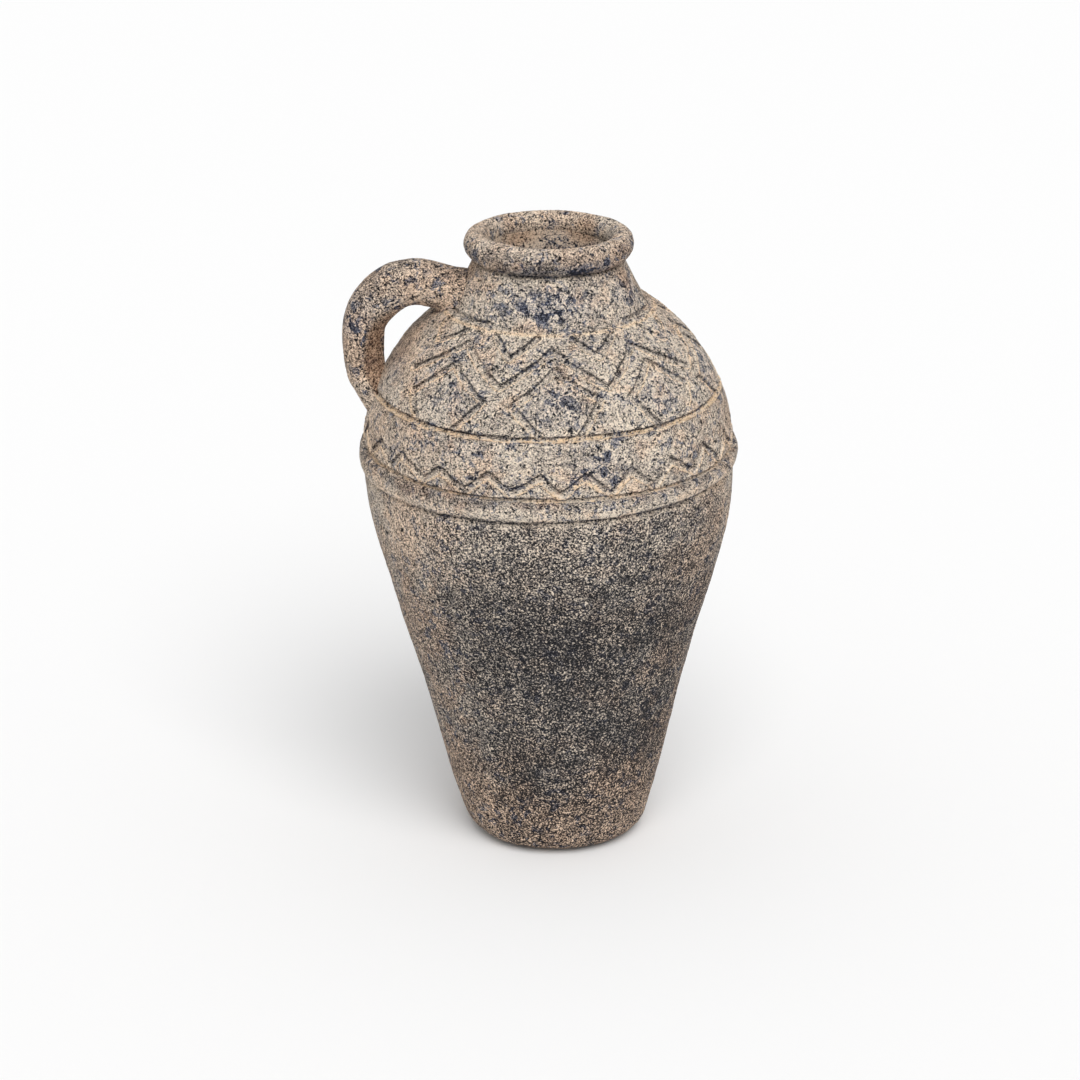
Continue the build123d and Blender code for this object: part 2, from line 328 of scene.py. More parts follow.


# earthenware with a dry tan coat brushed over a blue-black wash: matt and sandy to the eye, no two grains alike, pale
# on what stands proud and dark in the hollows, with painted light over that: paler on slopes that face up and on the
# lips of cuts, darker on slopes that face down. Real sand is finer, and is drawn this coarse so that it shows.
# Grains have their size in mm, detail and bend; eased values their source, the span read and the span given
earthenware = {
    "grains": {"sand": (1.7, 1.5, 0), "fleck": (4.4, 2, 1), "patch": (20, 3, 0), "cloud": (90, 2, 0),
               "hue": (55, 2, 0), "winding": (3.4, 1, 0.6), "wrinkled": (2.3, 1, 0.8), "daub": (9, 3, 0.9),
               "rose": (24, 3, 0)},
    "cells": {"pit": 4.6, "pock": 42}, "pockRagged": 0.25,
    "marks": ["wash", "stain", "lip", "bead", "wall", "cut", "score", "raised", "tone", "chill"],
    "directions": {"facing": (0.3, -0.95, 0), "ahead": (0.05, -1, 0), "fromHandle": (0.6, -0.8, 0)},
    "eased": {"crackLine": ("winding", 0.01, 0.07, 1.0, 0.0), "broken": ("fleck", 0.42, 0.58, 0.0, 1.0),
              "wrinkle": ("wrinkled", 0.0, 0.07, 1.0, 0.0), "pitHole": ("pit", 0.1, 0.26, 1.0, 0.0),
              "pitted": ("patch", 0.4, 0.6, 0.2, 1.0), "pockHole": ("pock", 0.15, 0.2, 1.0, 0.0),
              "dabEdge": ("daub", 0.535, 0.58, 0.0, 1.0), "dabbed": ("patch", 0.42, 0.58, 0.2, 1.0),
              "blotEdge": ("daub", 0.5, 0.55, 0.0, 1.0), "washedIn": ("patch", 0.38, 0.58, 0.35, 1.15),
              "wiped": ("fromHandle", 0.0, 0.75, 1.0, 0.0), "below": ("height", 0.374, 0.386, 1.0, 0.0),
              "sootFront": ("facing", 0.35, 0.95, 0.0, 1.0), "sootRise": ("height", 0.02, 0.12, 0.4, 1.0),
              "low": ("height", 0.24, 0.37, 1.0, 0.0), "coolFront": ("ahead", 0.65, 0.98, 0.0, 0.42),
              "underRim": ("height", 0.57, 0.58, 1.0, 0.0), "coolDrift": ("hue", 0.36, 0.64, 0.32, 0.8),
              "warmFoot": ("height", 0.02, 0.16, 1.0, 0.0), "rosePatch": ("rose", 0.52, 0.66, 0.0, 0.5)},
    "relief": {"fleck": 0.6, "sand": 0.6, "hole": -0.6, "wrinkle": -0.25},
    "bump": {"Strength": 0.8, "Distance": 1.4 * mm},
    "shadedMost": 0.25, "washedBlue": 0.7, "highlightShare": 0.8, "rosyInSoot": (0.0, 1.0, 1.0, 0.3),
    "dabInSoot": (0.0, 1.0, 0.9, 0.4), "blueOnPale": (0.5, 0.95, 1.0, 0.3), "start": -0.455,
    # score darkens every scored line: dark wash in the line, and painted shade in the creases under the rim and the
    # cordon
    "weights": {"sand": 1.2, "coarse": 2.2, "fleck": 0.5, "patch": 0.6, "cloud": 0.45, "hole": -1.05, "wrinkle": -0.5,
                "dab": -0.32, "blot": -0.28, "tilt": 0.6, "shaded": 0.8, "raised": 0.4, "ridgeHighlight": 0.32, "wall": -0.06,
                "cut": -0.07, "score": -0.55, "tone": 1.0, "washed": -0.06, "soot": -0.27, "low": -0.32,
                "wipedHole": -0.2, "wipedWrinkle": -0.2, "wiped": 0.04},
    "coats": {"warm": ["#211d1c", "#4b4340", "#796a60", "#aa9482", "#d4b8a0", "#f0d5bb"],
              "cool": ["#1e1e20", "#464547", "#6d6866", "#9a9087", "#c7b9a9", "#e9dac7"],
              "rosy": ["#241c19", "#52423b", "#866e61", "#ba9a84", "#e2c2a6", "#f5d8ba"],
              "highlightCoat": ["#2b2019", "#6d5642", "#b08e6e", "#e4c198", "#f5d8ae"],
              "blue": ["#1b1d27", "#3d4153", "#646878", "#8e8f97", "#bab5b2", "#e0d6cc"],
              "stain": ["#1a110b", "#4c3427", "#80604b", "#b28d71", "#d8b698"]},
    "roughness": 0.9, "specular": 0.2}


def clayMaterial():
    material = bpy.data.materials.new("antiquedEarthenware")
    material.use_nodes = True
    tree = material.node_tree
    tree.nodes.clear()
    add = partial(addNode, tree)
    place = add("ShaderNodeTexCoord").outputs["Object"]
    split = add("ShaderNodeSeparateXYZ", [place]).outputs
    part = {"height": split["Z"]}
    for name, (size, detail, bend) in earthenware["grains"].items():
        part[name] = add("ShaderNodeTexNoise", {"Vector": place, "Scale": 1 / (size * mm), "Detail": detail,
                                                "Distortion": bend})
    for name, size in earthenware["cells"].items():
        part[name] = add("ShaderNodeTexVoronoi", {"Vector": place, "Scale": 1 / (size * mm)})
    for name in earthenware["marks"]:
        part[name] = add("ShaderNodeAttribute", attribute_name=name).outputs["Fac"]
    flatPlace = add("ShaderNodeCombineXYZ", {"X": split["X"], "Y": split["Y"]})
    flatPlace = add("ShaderNodeVectorMath", [flatPlace], operation="NORMALIZE")
    for name, direction in earthenware["directions"].items():
        part[name] = add("ShaderNodeVectorMath", [flatPlace, direction], operation="DOT_PRODUCT").outputs["Value"]
    # cracks and wrinkles are thin winding lines, where a grain passes its middle
    for name in ("winding", "wrinkled"):
        part[name] = add(**absolute, inputs=[add(**less, inputs=[part[name], 0.5])])
    # here and there a deeper pock, where a bit of grit fell out
    part["pock"] = add(**timesPlus, inputs=[part["fleck"], earthenware["pockRagged"], part["pock"]])
    for name, (source, *spans) in earthenware["eased"].items():
        part[name] = add(**smooth, inputs=[part[source], *spans])
    # dabs of slate-blue wash have crisp edges, and below the cordon the front is sooty
    for name, first, second in (("crack", "crackLine", "broken"), ("pits", "pitHole", "pitted"),
                                ("dab", "dabEdge", "dabbed"), ("blot", "wash", "blotEdge"),
                                ("washed", "wash", "washedIn"), ("soot", "sootFront", "sootRise"),
                                ("soot", "soot", "below"), ("coolFront", "coolFront", "underRim")):
        part[name] = add(**times, inputs=[part[first], part[second]])
    part["hole"] = add(**most, inputs=[part["crack"], part["pits"]])
    part["hole"] = add(**most, inputs=[part["hole"], part["pockHole"]])
    relief = 0.0
    for name, weight in earthenware["relief"].items():
        relief = add(**timesPlus, inputs=[part[name], weight, relief])
    bump = add("ShaderNodeBump", {**earthenware["bump"], "Height": relief})
    # painted light: paler where the bumped surface looks up more than the smooth skin, darker where it looks down, as
    # if lit from above; on the walls of cuts this is a painted highlight and painted shade
    outward = add("ShaderNodeAttribute", attribute_name="outward").outputs["Vector"]
    turned = add("ShaderNodeVectorMath", [bump, outward], operation="SUBTRACT")
    part["tilt"] = add("ShaderNodeVectorMath", [turned, (0, 0, 1)], operation="DOT_PRODUCT").outputs["Value"]
    part["shaded"] = add(**times, inputs=[part["wall"], part["tilt"]])
    part["shaded"] = add(**least, inputs=[part["shaded"], earthenware["shadedMost"]])
    part["coarse"] = add(**times, inputs=[add(**less, inputs=[part["sand"], 0.5]), part["below"]])
    # painted highlight on the lips of cuts and on the neck's bead: paler, and in its own peach coat
    part["ridgeHighlight"] = add(**most, inputs=[part["lip"], part["bead"]])
    # on the handle's side the wash was wiped off the high spots and kept in every crack
    part["wipedHole"] = add(**times, inputs=[part["hole"], part["wiped"]])
    part["wipedWrinkle"] = add(**times, inputs=[part["wrinkle"], part["wiped"]])
    # how pale the clay is, from 0 in the thickest wash to 1 in the driest coat, painted light and shade included
    pale = earthenware["start"]
    for name, weight in earthenware["weights"].items():
        pale = add(**timesPlus, inputs=[part[name], weight, pale])
    # warm on the sides and the foot, warm and peach with the painted highlight on the lips of cuts and the bead,
    # cooler in front, slate blue in the wash
    cool = add(**plus, inputs=[part["coolFront"], part["chill"]])
    cool = add(**plus, inputs=[cool, part["coolDrift"]])
    cool = add(**less, inputs=[cool, add(**plus, inputs=[part["ridgeHighlight"], part["warmFoot"]])])
    part["cool"] = add(**smooth, inputs=[cool, 0.0, 1.0, 0.0, 1.0])
    rosier = add(**smooth, inputs=[part["soot"], *earthenware["rosyInSoot"]])
    part["rosy"] = add(**times, inputs=[part["rosePatch"], rosier])
    part["highlightCoat"] = add(**times, inputs=[part["ridgeHighlight"], earthenware["highlightShare"]])
    bluer = add(**smooth, inputs=[part["soot"], *earthenware["dabInSoot"]])
    bluer = add(**times, inputs=[part["dab"], bluer])
    washed = add(**times, inputs=[part["washed"], earthenware["washedBlue"]])
    bluer = add(**most, inputs=[bluer, add(**most, inputs=[washed, part["blot"]])])
    part["blue"] = add(**times, inputs=[bluer, add(**smooth, inputs=[pale, *earthenware["blueOnPale"]])])
    # each coat is a ramp from its wash to its driest clay, laid over the ones before it
    colour = None
    for name, codes in earthenware["coats"].items():
        coat = add("ShaderNodeValToRGB", [pale])
        elements = coat.color_ramp.elements
        elements[0].color, elements[1].color = linearColour(codes[0]), linearColour(codes[-1])
        for number, code in enumerate(codes[1:-1], 1):
            elements.new(number / (len(codes) - 1)).color = linearColour(code)
        if colour is None:
            colour = coat.outputs[0]
        else:
            colour = add("ShaderNodeMix", {0: part[name], 6: colour, 7: coat}, data_type="RGBA").outputs[2]
    shader = add("ShaderNodeBsdfPrincipled", {"Base Color": colour, "Roughness": earthenware["roughness"],
                                              "Specular IOR Level": earthenware["specular"], "Normal": bump})
    add("ShaderNodeOutputMaterial", {"Surface": shader})
    return material


clay = clayMaterial()
print("material made:", clay.name)


# worn and cut surface, grown on a smooth piece along its outward direction; a line's sizes are shares of its width,
# and its sides go by the distance in half widths
lineShape = {"waverSize": 1.6, "waverReach": 0.8, "pressureSize": 6.0, "pressure": (-0.15, 0.12, 0.8, 1.1),
             "lowerSide": (-0.35, 0.25, 1.0, 0.1), "channel": (0.6, 1.0, 1.0, 0.0),
             "wallIn": (0.5, 0.75, 0.0, 1.0), "wallOut": (0.95, 1.15, 1.0, 0.0),
             "lipIn": (0.9, 1.1, 0.0, 1.0), "lipOut": (1.15, 1.6, 1.0, 0.0), "scoreLip": 1.2}


def wornSurfaceTree():
    tree = bpy.data.node_groups.new("wornSurface", "GeometryNodeTree")
    sockets = tree.interface
    sockets.new_socket("Geometry", in_out="INPUT", socket_type="NodeSocketGeometry")
    for name in ("Cut Lines", "Score Lines"):
        sockets.new_socket(name, in_out="INPUT", socket_type="NodeSocketObject")
    for name in ("Cut Width", "Cut Depth", "Score Width", "Score Depth", "Lip Height", "Swell Size", "Swell Height",
                 "Lump Size", "Lump Height", "Grit Size", "Grit Height", "Seed"):
        sockets.new_socket(name, in_out="INPUT", socket_type="NodeSocketFloat")
    sockets.new_socket("Clay", in_out="INPUT", socket_type="NodeSocketMaterial")
    sockets.new_socket("Geometry", in_out="OUTPUT", socket_type="NodeSocketGeometry")
    add = partial(addNode, tree)
    given = add("NodeGroupInput").outputs
    place = add("GeometryNodeInputPosition")

    def rough(size, detail):
        # unevenness about zero, with features of a given size
        scale = add(**divided, inputs=[1.0, size])
        noise = add("ShaderNodeTexNoise", {"Vector": place, "W": given["Seed"], "Detail": detail, "Scale": scale},
                    noise_dimensions="4D")
        return add(**less, inputs=[noise, 0.5])

    def groove(cutter):
        # along drawn lines: how deep a point lies in the channel, how near it is to a wall, and how near to a lip
        lines = add("GeometryNodeObjectInfo", {"Object": given[cutter + " Lines"]}, transform_space="ORIGINAL")
        near = add("GeometryNodeProximity", [lines.outputs["Geometry"]], target_element="EDGES").outputs
        width = given[cutter + " Width"]
        waver = rough(add(**times, inputs=[width, lineShape["waverSize"]]), 2)
        reach = add(**times, inputs=[width, lineShape["waverReach"]])
        wander = add(**timesPlus, inputs=[waver, reach, near["Distance"]])
        share = add(**divided, inputs=[wander, add(**times, inputs=[width, 0.5])])
        pressure = rough(add(**times, inputs=[width, lineShape["pressureSize"]]), 1)
        pressure = add(**smooth, inputs=[pressure, *lineShape["pressure"]])
        # the clay is pushed up along the lower side of a line
        aside = add("ShaderNodeVectorMath", [place, near["Position"]], operation="SUBTRACT")
        aside = add("ShaderNodeSeparateXYZ", [aside]).outputs["Z"]
        under = add(**smooth, inputs=[add(**divided, inputs=[aside, width]), *lineShape["lowerSide"]])
        channel = add(**smooth, inputs=[share, *lineShape["channel"]])
        wall = add(**times, inputs=[add(**smooth, inputs=[share, *lineShape["wallIn"]]),
                                    add(**smooth, inputs=[share, *lineShape["wallOut"]])])
        lip = add(**times, inputs=[add(**smooth, inputs=[share, *lineShape["lipIn"]]),
                                   add(**smooth, inputs=[share, *lineShape["lipOut"]])])
        lip = add(**times, inputs=[lip, under])
        return [add(**times, inputs=[shape, pressure]) for shape in (channel, wall, lip)]

    swell = add(**times, inputs=[rough(given["Swell Size"], 1), given["Swell Height"]])
    lump, grit = rough(given["Lump Size"], 2), rough(given["Grit Size"], 2)
    bumps = add(**plus, inputs=[add(**times, inputs=[lump, given["Lump Height"]]),
                                add(**times, inputs=[grit, given["Grit Height"]])])
    cut, cutWall, cutLip = groove("Cut")
    score, scoreWall, scoreLip = groove("Score")
    depth = add(**most, inputs=[add(**times, inputs=[cut, given["Cut Depth"]]),
                                add(**times, inputs=[score, given["Score Depth"]])])
    wall = add(**most, inputs=[cutWall, scoreWall])
    lip = add(**most, inputs=[cutLip, add(**times, inputs=[scoreLip, lineShape["scoreLip"]])])
    lip = add(**times, inputs=[lip, given["Lip Height"]])
    rise = add(**plus, inputs=[add(**plus, inputs=[swell, bumps]), add(**less, inputs=[lip, depth])])
    skin = add("GeometryNodeInputNamedAttribute", {"Name": "skin"}, data_type="FLOAT")
    outward = add("GeometryNodeInputNamedAttribute", {"Name": "outward"}, data_type="FLOAT_VECTOR")
    offset = add("ShaderNodeVectorMath", {0: outward, "Scale": add(**times, inputs=[rise, skin])}, operation="SCALE")
    shape = add("GeometryNodeSetPosition", {"Geometry": given["Geometry"], "Offset": offset})
    lipShare = add(**divided, inputs=[add(**times, inputs=[lip, skin]), mm])
    stored = {"cut": add(**times, inputs=[cut, skin]), "wall": add(**times, inputs=[wall, skin]),
              "score": add(**times, inputs=[score, skin]), "lip": lipShare,
              "raised": add(**plus, inputs=[lump, grit])}
    for name, value in stored.items():
        shape = add("GeometryNodeStoreNamedAttribute", {"Geometry": shape, "Name": name, "Value": value},
                    data_type="FLOAT", domain="POINT")
    shape = add("GeometryNodeRealizeInstances", [shape])
    shape = add("GeometryNodeSetMaterial", {"Geometry": shape, "Material": given["Clay"]})
    add("NodeGroupOutput", [shape])
    return tree


wornSurface = wornSurfaceTree()
surfaceDefaults = {"Cut Lines": plainLines, "Cut Width": 6.6 * mm, "Cut Depth": 1.9 * mm, "Lip Height": 0.7 * mm,
                   "Score Lines": plainLines, "Score Width": 4.6 * mm, "Score Depth": 2.8 * mm,
                   "Swell Size": 95 * mm, "Swell Height": 4 * mm, "Lump Size": 17 * mm, "Lump Height": 1.6 * mm,
                   "Grit Size": 4.2 * mm, "Grit Height": 0.9 * mm, "Seed": 2.7, "Clay": clay}
sharpAngle = math.radians(70)     # edges that bend more than this are not shaded smooth


def finishPiece(name, mesh, cadNode, **changes):
    # grows the worn surface on a smooth mesh and hands the plain result to the frame
    base = bpy.data.objects.new(name + "Smooth", mesh)
    scene.collection.objects.link(base)
    worn = base.modifiers.new("wornSurface", "NODES")
    worn.node_group = wornSurface
    names = {item.name: item.identifier for item in wornSurface.interface.items_tree if item.in_out == "INPUT"}
    for key, value in {**surfaceDefaults, **changes}.items():
        worn[names[key]] = value
    evaluated = base.evaluated_get(bpy.context.evaluated_depsgraph_get())
    plain = bpy.data.meshes.new_from_object(evaluated)
    plain.name = name
    plain.shade_smooth()
    plain.set_sharp_from_angle(angle=sharpAngle)
    bpy.data.objects.remove(base)
    piece = bpy.data.objects.new(name, plain)
    scene.collection.objects.link(piece)
    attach(piece, "root")
    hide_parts(cadNode)
    print(name, "made with", len(plain.polygons), "faces")


footLean = {"foot": 7 * mm, "top": 390 * mm}


def leanFoot(mesh):
    # the thrown foot stands a little to the right of the belly's axis
    points = meshPoints(mesh)
    points[:, 0] += footLean["foot"] * np.clip(1 - points[:, 2] / footLean["top"], 0, 1)
    mesh.vertices.foreach_set("co", points.ravel())


# floor slab; the radii of its underside and of its top in mm
slab = {"segments": 480, "top": 20 * mm, "standRadius": 62.6 * mm, "heelRadius": 28.2 * mm, "heelRows": 16,
        "heelFade": [0, 0.2, 0.4, 0.6, 0.8], "underside": (0, 12, 24, 36, 48, 56), "topside": (76, 50, 25, 0)}


def makeSlab():
    turn = np.linspace(0, math.acos(1 - slab["top"] / slab["heelRadius"]), slab["heelRows"])
    heel = np.column_stack([slab["standRadius"] + slab["heelRadius"] * np.sin(turn),
                            slab["heelRadius"] * (1 - np.cos(turn)), np.sin(turn), -np.cos(turn), np.ones(len(turn))])
    heel[-1, 0] = skinRadius(slab["top"])
    heel[-1, 2:4] = skinNormal(slab["top"])
    heel[:len(slab["heelFade"]), 4] = slab["heelFade"]
    under = [[radius * mm, 0, 0, 0, 0] for radius in slab["underside"]]
    inside = [[radius * mm, slab["top"], 0, 0, 0] for radius in slab["topside"]]
    mesh = latheMesh("floorSlab", np.vstack([under, heel, inside]), slab["segments"], poles=True)
    leanFoot(mesh)
    finishPiece("floorSlab", mesh, "floor_slab")


makeSlab()

# lower wall
flank = {"segments": 480, "low": slab["top"], "high": 390 * mm, "row": 2.05 * mm, "wall": 12 * mm, "insideRows": 12,
         "surface": {"Score Lines": seamLines, "Score Depth": 2.6 * mm, "Lip Height": 0.0}}


def makeFlank():
    outside = skinRows(flank["low"], flank["high"], flank["row"])
    rows = np.vstack([outside, insideRows(outside, flank["wall"], flank["insideRows"])])
    mesh = latheMesh("lowerWall", rows, flank["segments"])
    leanFoot(mesh)
    finishPiece("lowerWall", mesh, "lower_wall", **flank["surface"])


makeFlank()

# cordon over the seam
cordon = {"segments": 840, "rows": 22, "low": 380.5 * mm, "lowSway": 4 * mm, "high": 398 * mm, "relief": 5 * mm,
          "fullness": 0.7, "pressed": 0.6 * mm, "sink": 3 * mm, "surface": {"Swell Height": 2 * mm}}


def makeCordon():
    turn = np.linspace(0, math.pi, cordon["rows"])
    heights = cordon["low"] + (cordon["high"] - cordon["low"]) * (1 - np.cos(turn)) / 2
    swell = cordon["relief"] * np.sin(turn) ** cordon["fullness"]
    front = np.column_stack([skinRadius(heights) + swell - cordon["pressed"], heights,
                             np.sin(turn), -np.cos(turn), np.ones(len(turn))])
    back = [[skinRadius(z) - cordon["sink"], z, 0, 0, 0] for z in (cordon["high"], cordon["low"])]
    mesh = latheMesh("bellyCordon", np.vstack([front, back]), cordon["segments"])
    points = meshPoints(mesh)
    around = np.arctan2(points[:, 0], -points[:, 1])
    share = np.clip((cordon["high"] - points[:, 2]) / (cordon["high"] - cordon["low"]), 0, 1)
    points[:, 2] += share * cordon["lowSway"] * np.sin(around)
    mesh.vertices.foreach_set("co", points.ravel())
    finishPiece("bellyCordon", mesh, "belly_cordon", **cordon["surface"])


makeCordon()

# course with the carved zigzag
band = {"segments": 1180, "low": flank["high"], "high": 453 * mm, "row": 1.05 * mm, "wall": 12 * mm, "insideRows": 7,
        "tone": 0.02, "wash": [(16, 426, 14, 20, 0.6), (-24, 440, 12, 10, 0.5)],
        "surface": {"Cut Lines": bandLines, "Score Lines": scoredLines}}


def makeBand():
    outside = skinRows(band["low"], band["high"], band["row"])
    rows = np.vstack([outside, insideRows(outside, band["wall"], band["insideRows"])])
    mesh = latheMesh("zigzagBand", rows, band["segments"], tones=np.full(len(rows), band["tone"]))
    addSpots(mesh, wash=band["wash"])
    finishPiece("zigzagBand", mesh, "zigzag_band", **band["surface"])


makeBand()

# domed course with the diamonds; each diamond's wash has its height, reaches and strength
dome = {"segments": 916, "low": band["high"], "high": 531.5 * mm, "row": 1.05 * mm, "wall": 12 * mm, "insideRows": 8,
        "tone": 0.08, "chill": 0.3, "chillReach": 45, "diamondWash": (480, 13, 22, 0.75),
        "stain": [(-84, 498, 17, 34, 0.45), (-68, 524, 14, 9, 0.4)],
        "surface": {"Cut Lines": shoulderLines, "Score Lines": scoredLines}}


def makeDome():
    outside = skinRows(dome["low"], dome["high"], dome["row"])
    rows = np.vstack([outside, insideRows(outside, dome["wall"], dome["insideRows"])])
    mesh = latheMesh("shoulderDome", rows, dome["segments"], tones=np.full(len(rows), dome["tone"]))
    # warm clay was smeared on the side of the handle
    points = meshPoints(mesh)
    fromHandle = np.degrees(np.arctan2(points[:, 1], -points[:, 0]))
    addPointData(mesh, bead=np.repeat(beadHighlight(rows[:, 1]), dome["segments"]),
                 chill=dome["chill"] * (1 - np.exp(-(fromHandle / dome["chillReach"]) ** 2)))
    pitch = 360 / carving["diamonds"]
    wash = [(carving["turn"] + index * pitch, *dome["diamondWash"]) for index in range(carving["diamonds"])]
    addSpots(mesh, wash=wash, stain=dome["stain"])
    finishPiece("shoulderDome", mesh, "shoulder", **dome["surface"])


makeDome()

# neck; the bore's corners in mm, and its painted light and shade along its way down: paler near the lip, darker
# deeper in; the outside is painted darker just under the rim, as shade
neck = {"segments": 840, "low": dome["high"], "top": 579 * mm, "row": 1.25 * mm,
        "bore": [(57.2, 585), (57.5, 545.5), (83, 522)], "boreRows": 34,
        "boreLightAndShade": ([0, 10 * mm, 18 * mm, 30 * mm], [0.36, 0.3, 0.06, -0.3]),
        "tones": ([572.5 * mm, 575.5 * mm], [0.0, -0.5]), "chill": 0.15,
        "wash": [(0, 552, 44, 17, 1.0), (-62, 556, 16, 10, 0.4), (60, 554, 22, 16, 0.7),
                 (168, 572, 40, 16, 0.9), (130, 562, 18, 10, 0.6)],
        "stain": [(-82, 564, 16, 14, 0.6), (66, 564, 10, 14, 0.5), (-152, 580, 26, 12, 0.7), (146, 582, 22, 12, 0.7)],
        "surface": {"Score Lines": neckLines, "Score Width": 4 * mm, "Score Depth": 2.8 * mm, "Lip Height": 0.0}}


def makeNeck():
    outside = skinRows(neck["low"], neck["top"], neck["row"])
    corners = np.array(neck["bore"]) * mm
    travel = np.concatenate([[0], np.cumsum(np.hypot(*np.diff(corners, axis=0).T))])
    spots = np.linspace(0, travel[-1], neck["boreRows"])
    inside = np.column_stack([np.interp(spots, travel, corners[:, 0]), np.interp(spots, travel, corners[:, 1]),
                              -np.ones(len(spots)), np.zeros(len(spots)), np.ones(len(spots))])
    rows = np.vstack([outside, inside])
    # painted shade on the outside just under the rim, and painted light and shade down the bore
    tones = np.concatenate([np.interp(outside[:, 1], *neck["tones"]), np.interp(spots, *neck["boreLightAndShade"])])
    mesh = latheMesh("neckWall", rows, neck["segments"], tones=tones)
    addPointData(mesh, bead=np.repeat(beadHighlight(rows[:, 1]) * rows[:, 2].clip(0, 1), neck["segments"]),
                 chill=np.repeat(neck["chill"] * (rows[:, 2] > 0), neck["segments"]))
    addSpots(mesh, wash=neck["wash"], stain=neck["stain"])
    finishPiece("neckWall", mesh, "neck", **neck["surface"])


makeNeck()

# rim roll
rim = {"segments": 520, "rows": 60, "radius": 67.6 * mm, "height": 588.2 * mm, "halfWidth": 10.8 * mm,
       "halfHeight": 11.8 * mm, "frontRise": 1.8 * mm, "frontThick": 2.4 * mm,
       "tone": -0.03, "frontPaintedShade": -0.34, "topPaintedHighlight": 0.22, "underPaintedShade": -0.3,
       "wash": [(28, 583, 26, 9, 1.0), (-12, 582, 14, 7, 0.7), (-62, 588, 10, 8, 0.7), (80, 592, 14, 9, 0.6)],
       "stain": [(140, 592, 16, 9, 0.6), (-35, 584, 12, 8, 0.3)],
       "surface": {"Swell Size": 60 * mm, "Swell Height": 3 * mm}}


def makeRim():
    turn = np.linspace(-math.pi / 2, math.pi * 1.5, rim["rows"], endpoint=False)
    across, up = np.cos(turn), np.sin(turn)
    normal = np.stack([across / rim["halfWidth"], up / rim["halfHeight"]], -1)
    normal /= np.linalg.norm(normal, axis=1)[:, None]
    roll = np.column_stack([rim["radius"] + rim["halfWidth"] * across, rim["height"] + rim["halfHeight"] * up,
                            normal, np.ones(len(turn))])
    mesh = latheMesh("rimRoll", roll, rim["segments"])
    # the roll is fuller in front: higher, and thicker towards the mouth
    points = meshPoints(mesh)
    radius = np.hypot(points[:, 0], points[:, 1])
    front = np.clip(0.5 - 0.5 * points[:, 1] / radius, 0, 1)
    rise = (points[:, 2] - rim["height"]) / rim["halfHeight"]
    inward = np.clip((rim["radius"] - radius) / rim["halfWidth"], 0, 1)
    points[:, 2] += front * rim["frontRise"] * np.clip(rise, 0, 1)
    points[:, :2] *= (1 - front * inward * rim["frontThick"] / radius)[:, None]
    mesh.vertices.foreach_set("co", points.ravel())
    # painted shade on the front's outer lower face and under the roll, and a painted highlight along its top
    tone = rim["tone"] + rim["frontPaintedShade"] * front ** 2 * (1 - inward) * (1 - np.clip(rise, 0, 1))
    tone += rim["topPaintedHighlight"] * np.clip(rise, 0, 1) ** 3 + rim["underPaintedShade"] * np.clip(-rise, 0, 1) ** 4
    mesh.attributes["tone"].data.foreach_set("value", tone)
    addSpots(mesh, wash=rim["wash"], stain=rim["stain"])
    finishPiece("rimRoll", mesh, "rim_roll", **rim["surface"])


makeRim()

# handle, a strap drawn along a bent line with its ends smeared on to the pot: corners, radii, thickness and width in
# mm, waves with their amount, count and start, washes and the brow with their strength, place along it and reach
strap = {"corners": [(-73.5, 541.5), (-172.7, 564.5), (-172.7, 453.0), (-141.2, 410.5)], "radii": [48, 108],
         "bendSteps": 40, "lineStep": 0.5 * mm, "lineBlur": 12, "thickness": (41.0, 36.0), "width": 46.0,
         "square": 0.86, "around": 120, "step": 1.5 * mm, "rootLength": 15 * mm, "rootTop": 571 * mm,
         "rootSink": 1.2 * mm, "rootBuried": 5 * mm, "probeStep": 0.25 * mm, "probeMost": 0.12,
         "gripSpread": 6 * mm, "outerSpread": 0.4 * mm, "spreadWaves": [(0.25, 3, 1), (0.15, 7, 0)], "fillet": 18,
         "flatTurn": 35, "flatReach": (1.1, 0.74), "flatLength": 60 * mm, "flatEdge": (0.95, 0.4),
         "elbowFill": 5 * mm, "elbowReach": 22 * mm, "tailTaper": 0.5, "tailLength": 62 * mm, "tailTurn": 0.16,
         "tone": -0.12, "chill": -0.25, "rootPaintedShade": -0.4, "rootRows": 7, "creaseDark": -0.3, "creaseReach": 0.06,
         "rust": 2.2, "rustMost": 0.8, "brow": (0.5, 0.2, 0.06), "archWash": (1.0, 0.3, 0.1),
         "backWash": (0.8, 0.6, 0.13), "browSide": -0.1, "archSide": 0.2, "backSide": 0.6,
         "surface": {"Swell Size": 50 * mm, "Swell Height": 5 * mm}}


def strapLine():
    # the bent line as closely spaced points in metres, with rounded corners
    corners = [np.array(p) * mm for p in strap["corners"]]
    points = [corners[0]]
    for before, corner, after, radius in zip(corners, corners[1:], corners[2:], strap["radii"]):
        into, out = corner - before, after - corner
        into, out = into / np.linalg.norm(into), out / np.linalg.norm(out)
        side = np.sign(into[0] * out[1] - into[1] * out[0])
        bend = math.acos(np.clip(into @ out, -1, 1))
        start = corner - into * (radius * mm * math.tan(bend / 2))
        middle = start + np.array([-into[1], into[0]]) * radius * mm * side
        spoke = start - middle
        for share in np.linspace(0, 1, strap["bendSteps"]):
            turn = bend * share * side
            points.append(middle + np.array([spoke[0] * math.cos(turn) - spoke[1] * math.sin(turn),
                                             spoke[0] * math.sin(turn) + spoke[1] * math.cos(turn)]))
    points.append(corners[-1])
    points = np.array(points)
    travel = np.concatenate([[0], np.cumsum(np.hypot(*np.diff(points, axis=0).T))])
    even = np.arange(0, travel[-1], strap["lineStep"])
    return np.column_stack([np.interp(even, travel, points[:, 0]), np.interp(even, travel, points[:, 1])])


def insidePot(point):
    return math.hypot(point[0], point[1]) < skinRadius(min(point[2], neck["top"]))


def bellCurve(values, strength, middle, reach):
    return strength * np.exp(-((values - middle) / reach) ** 2)


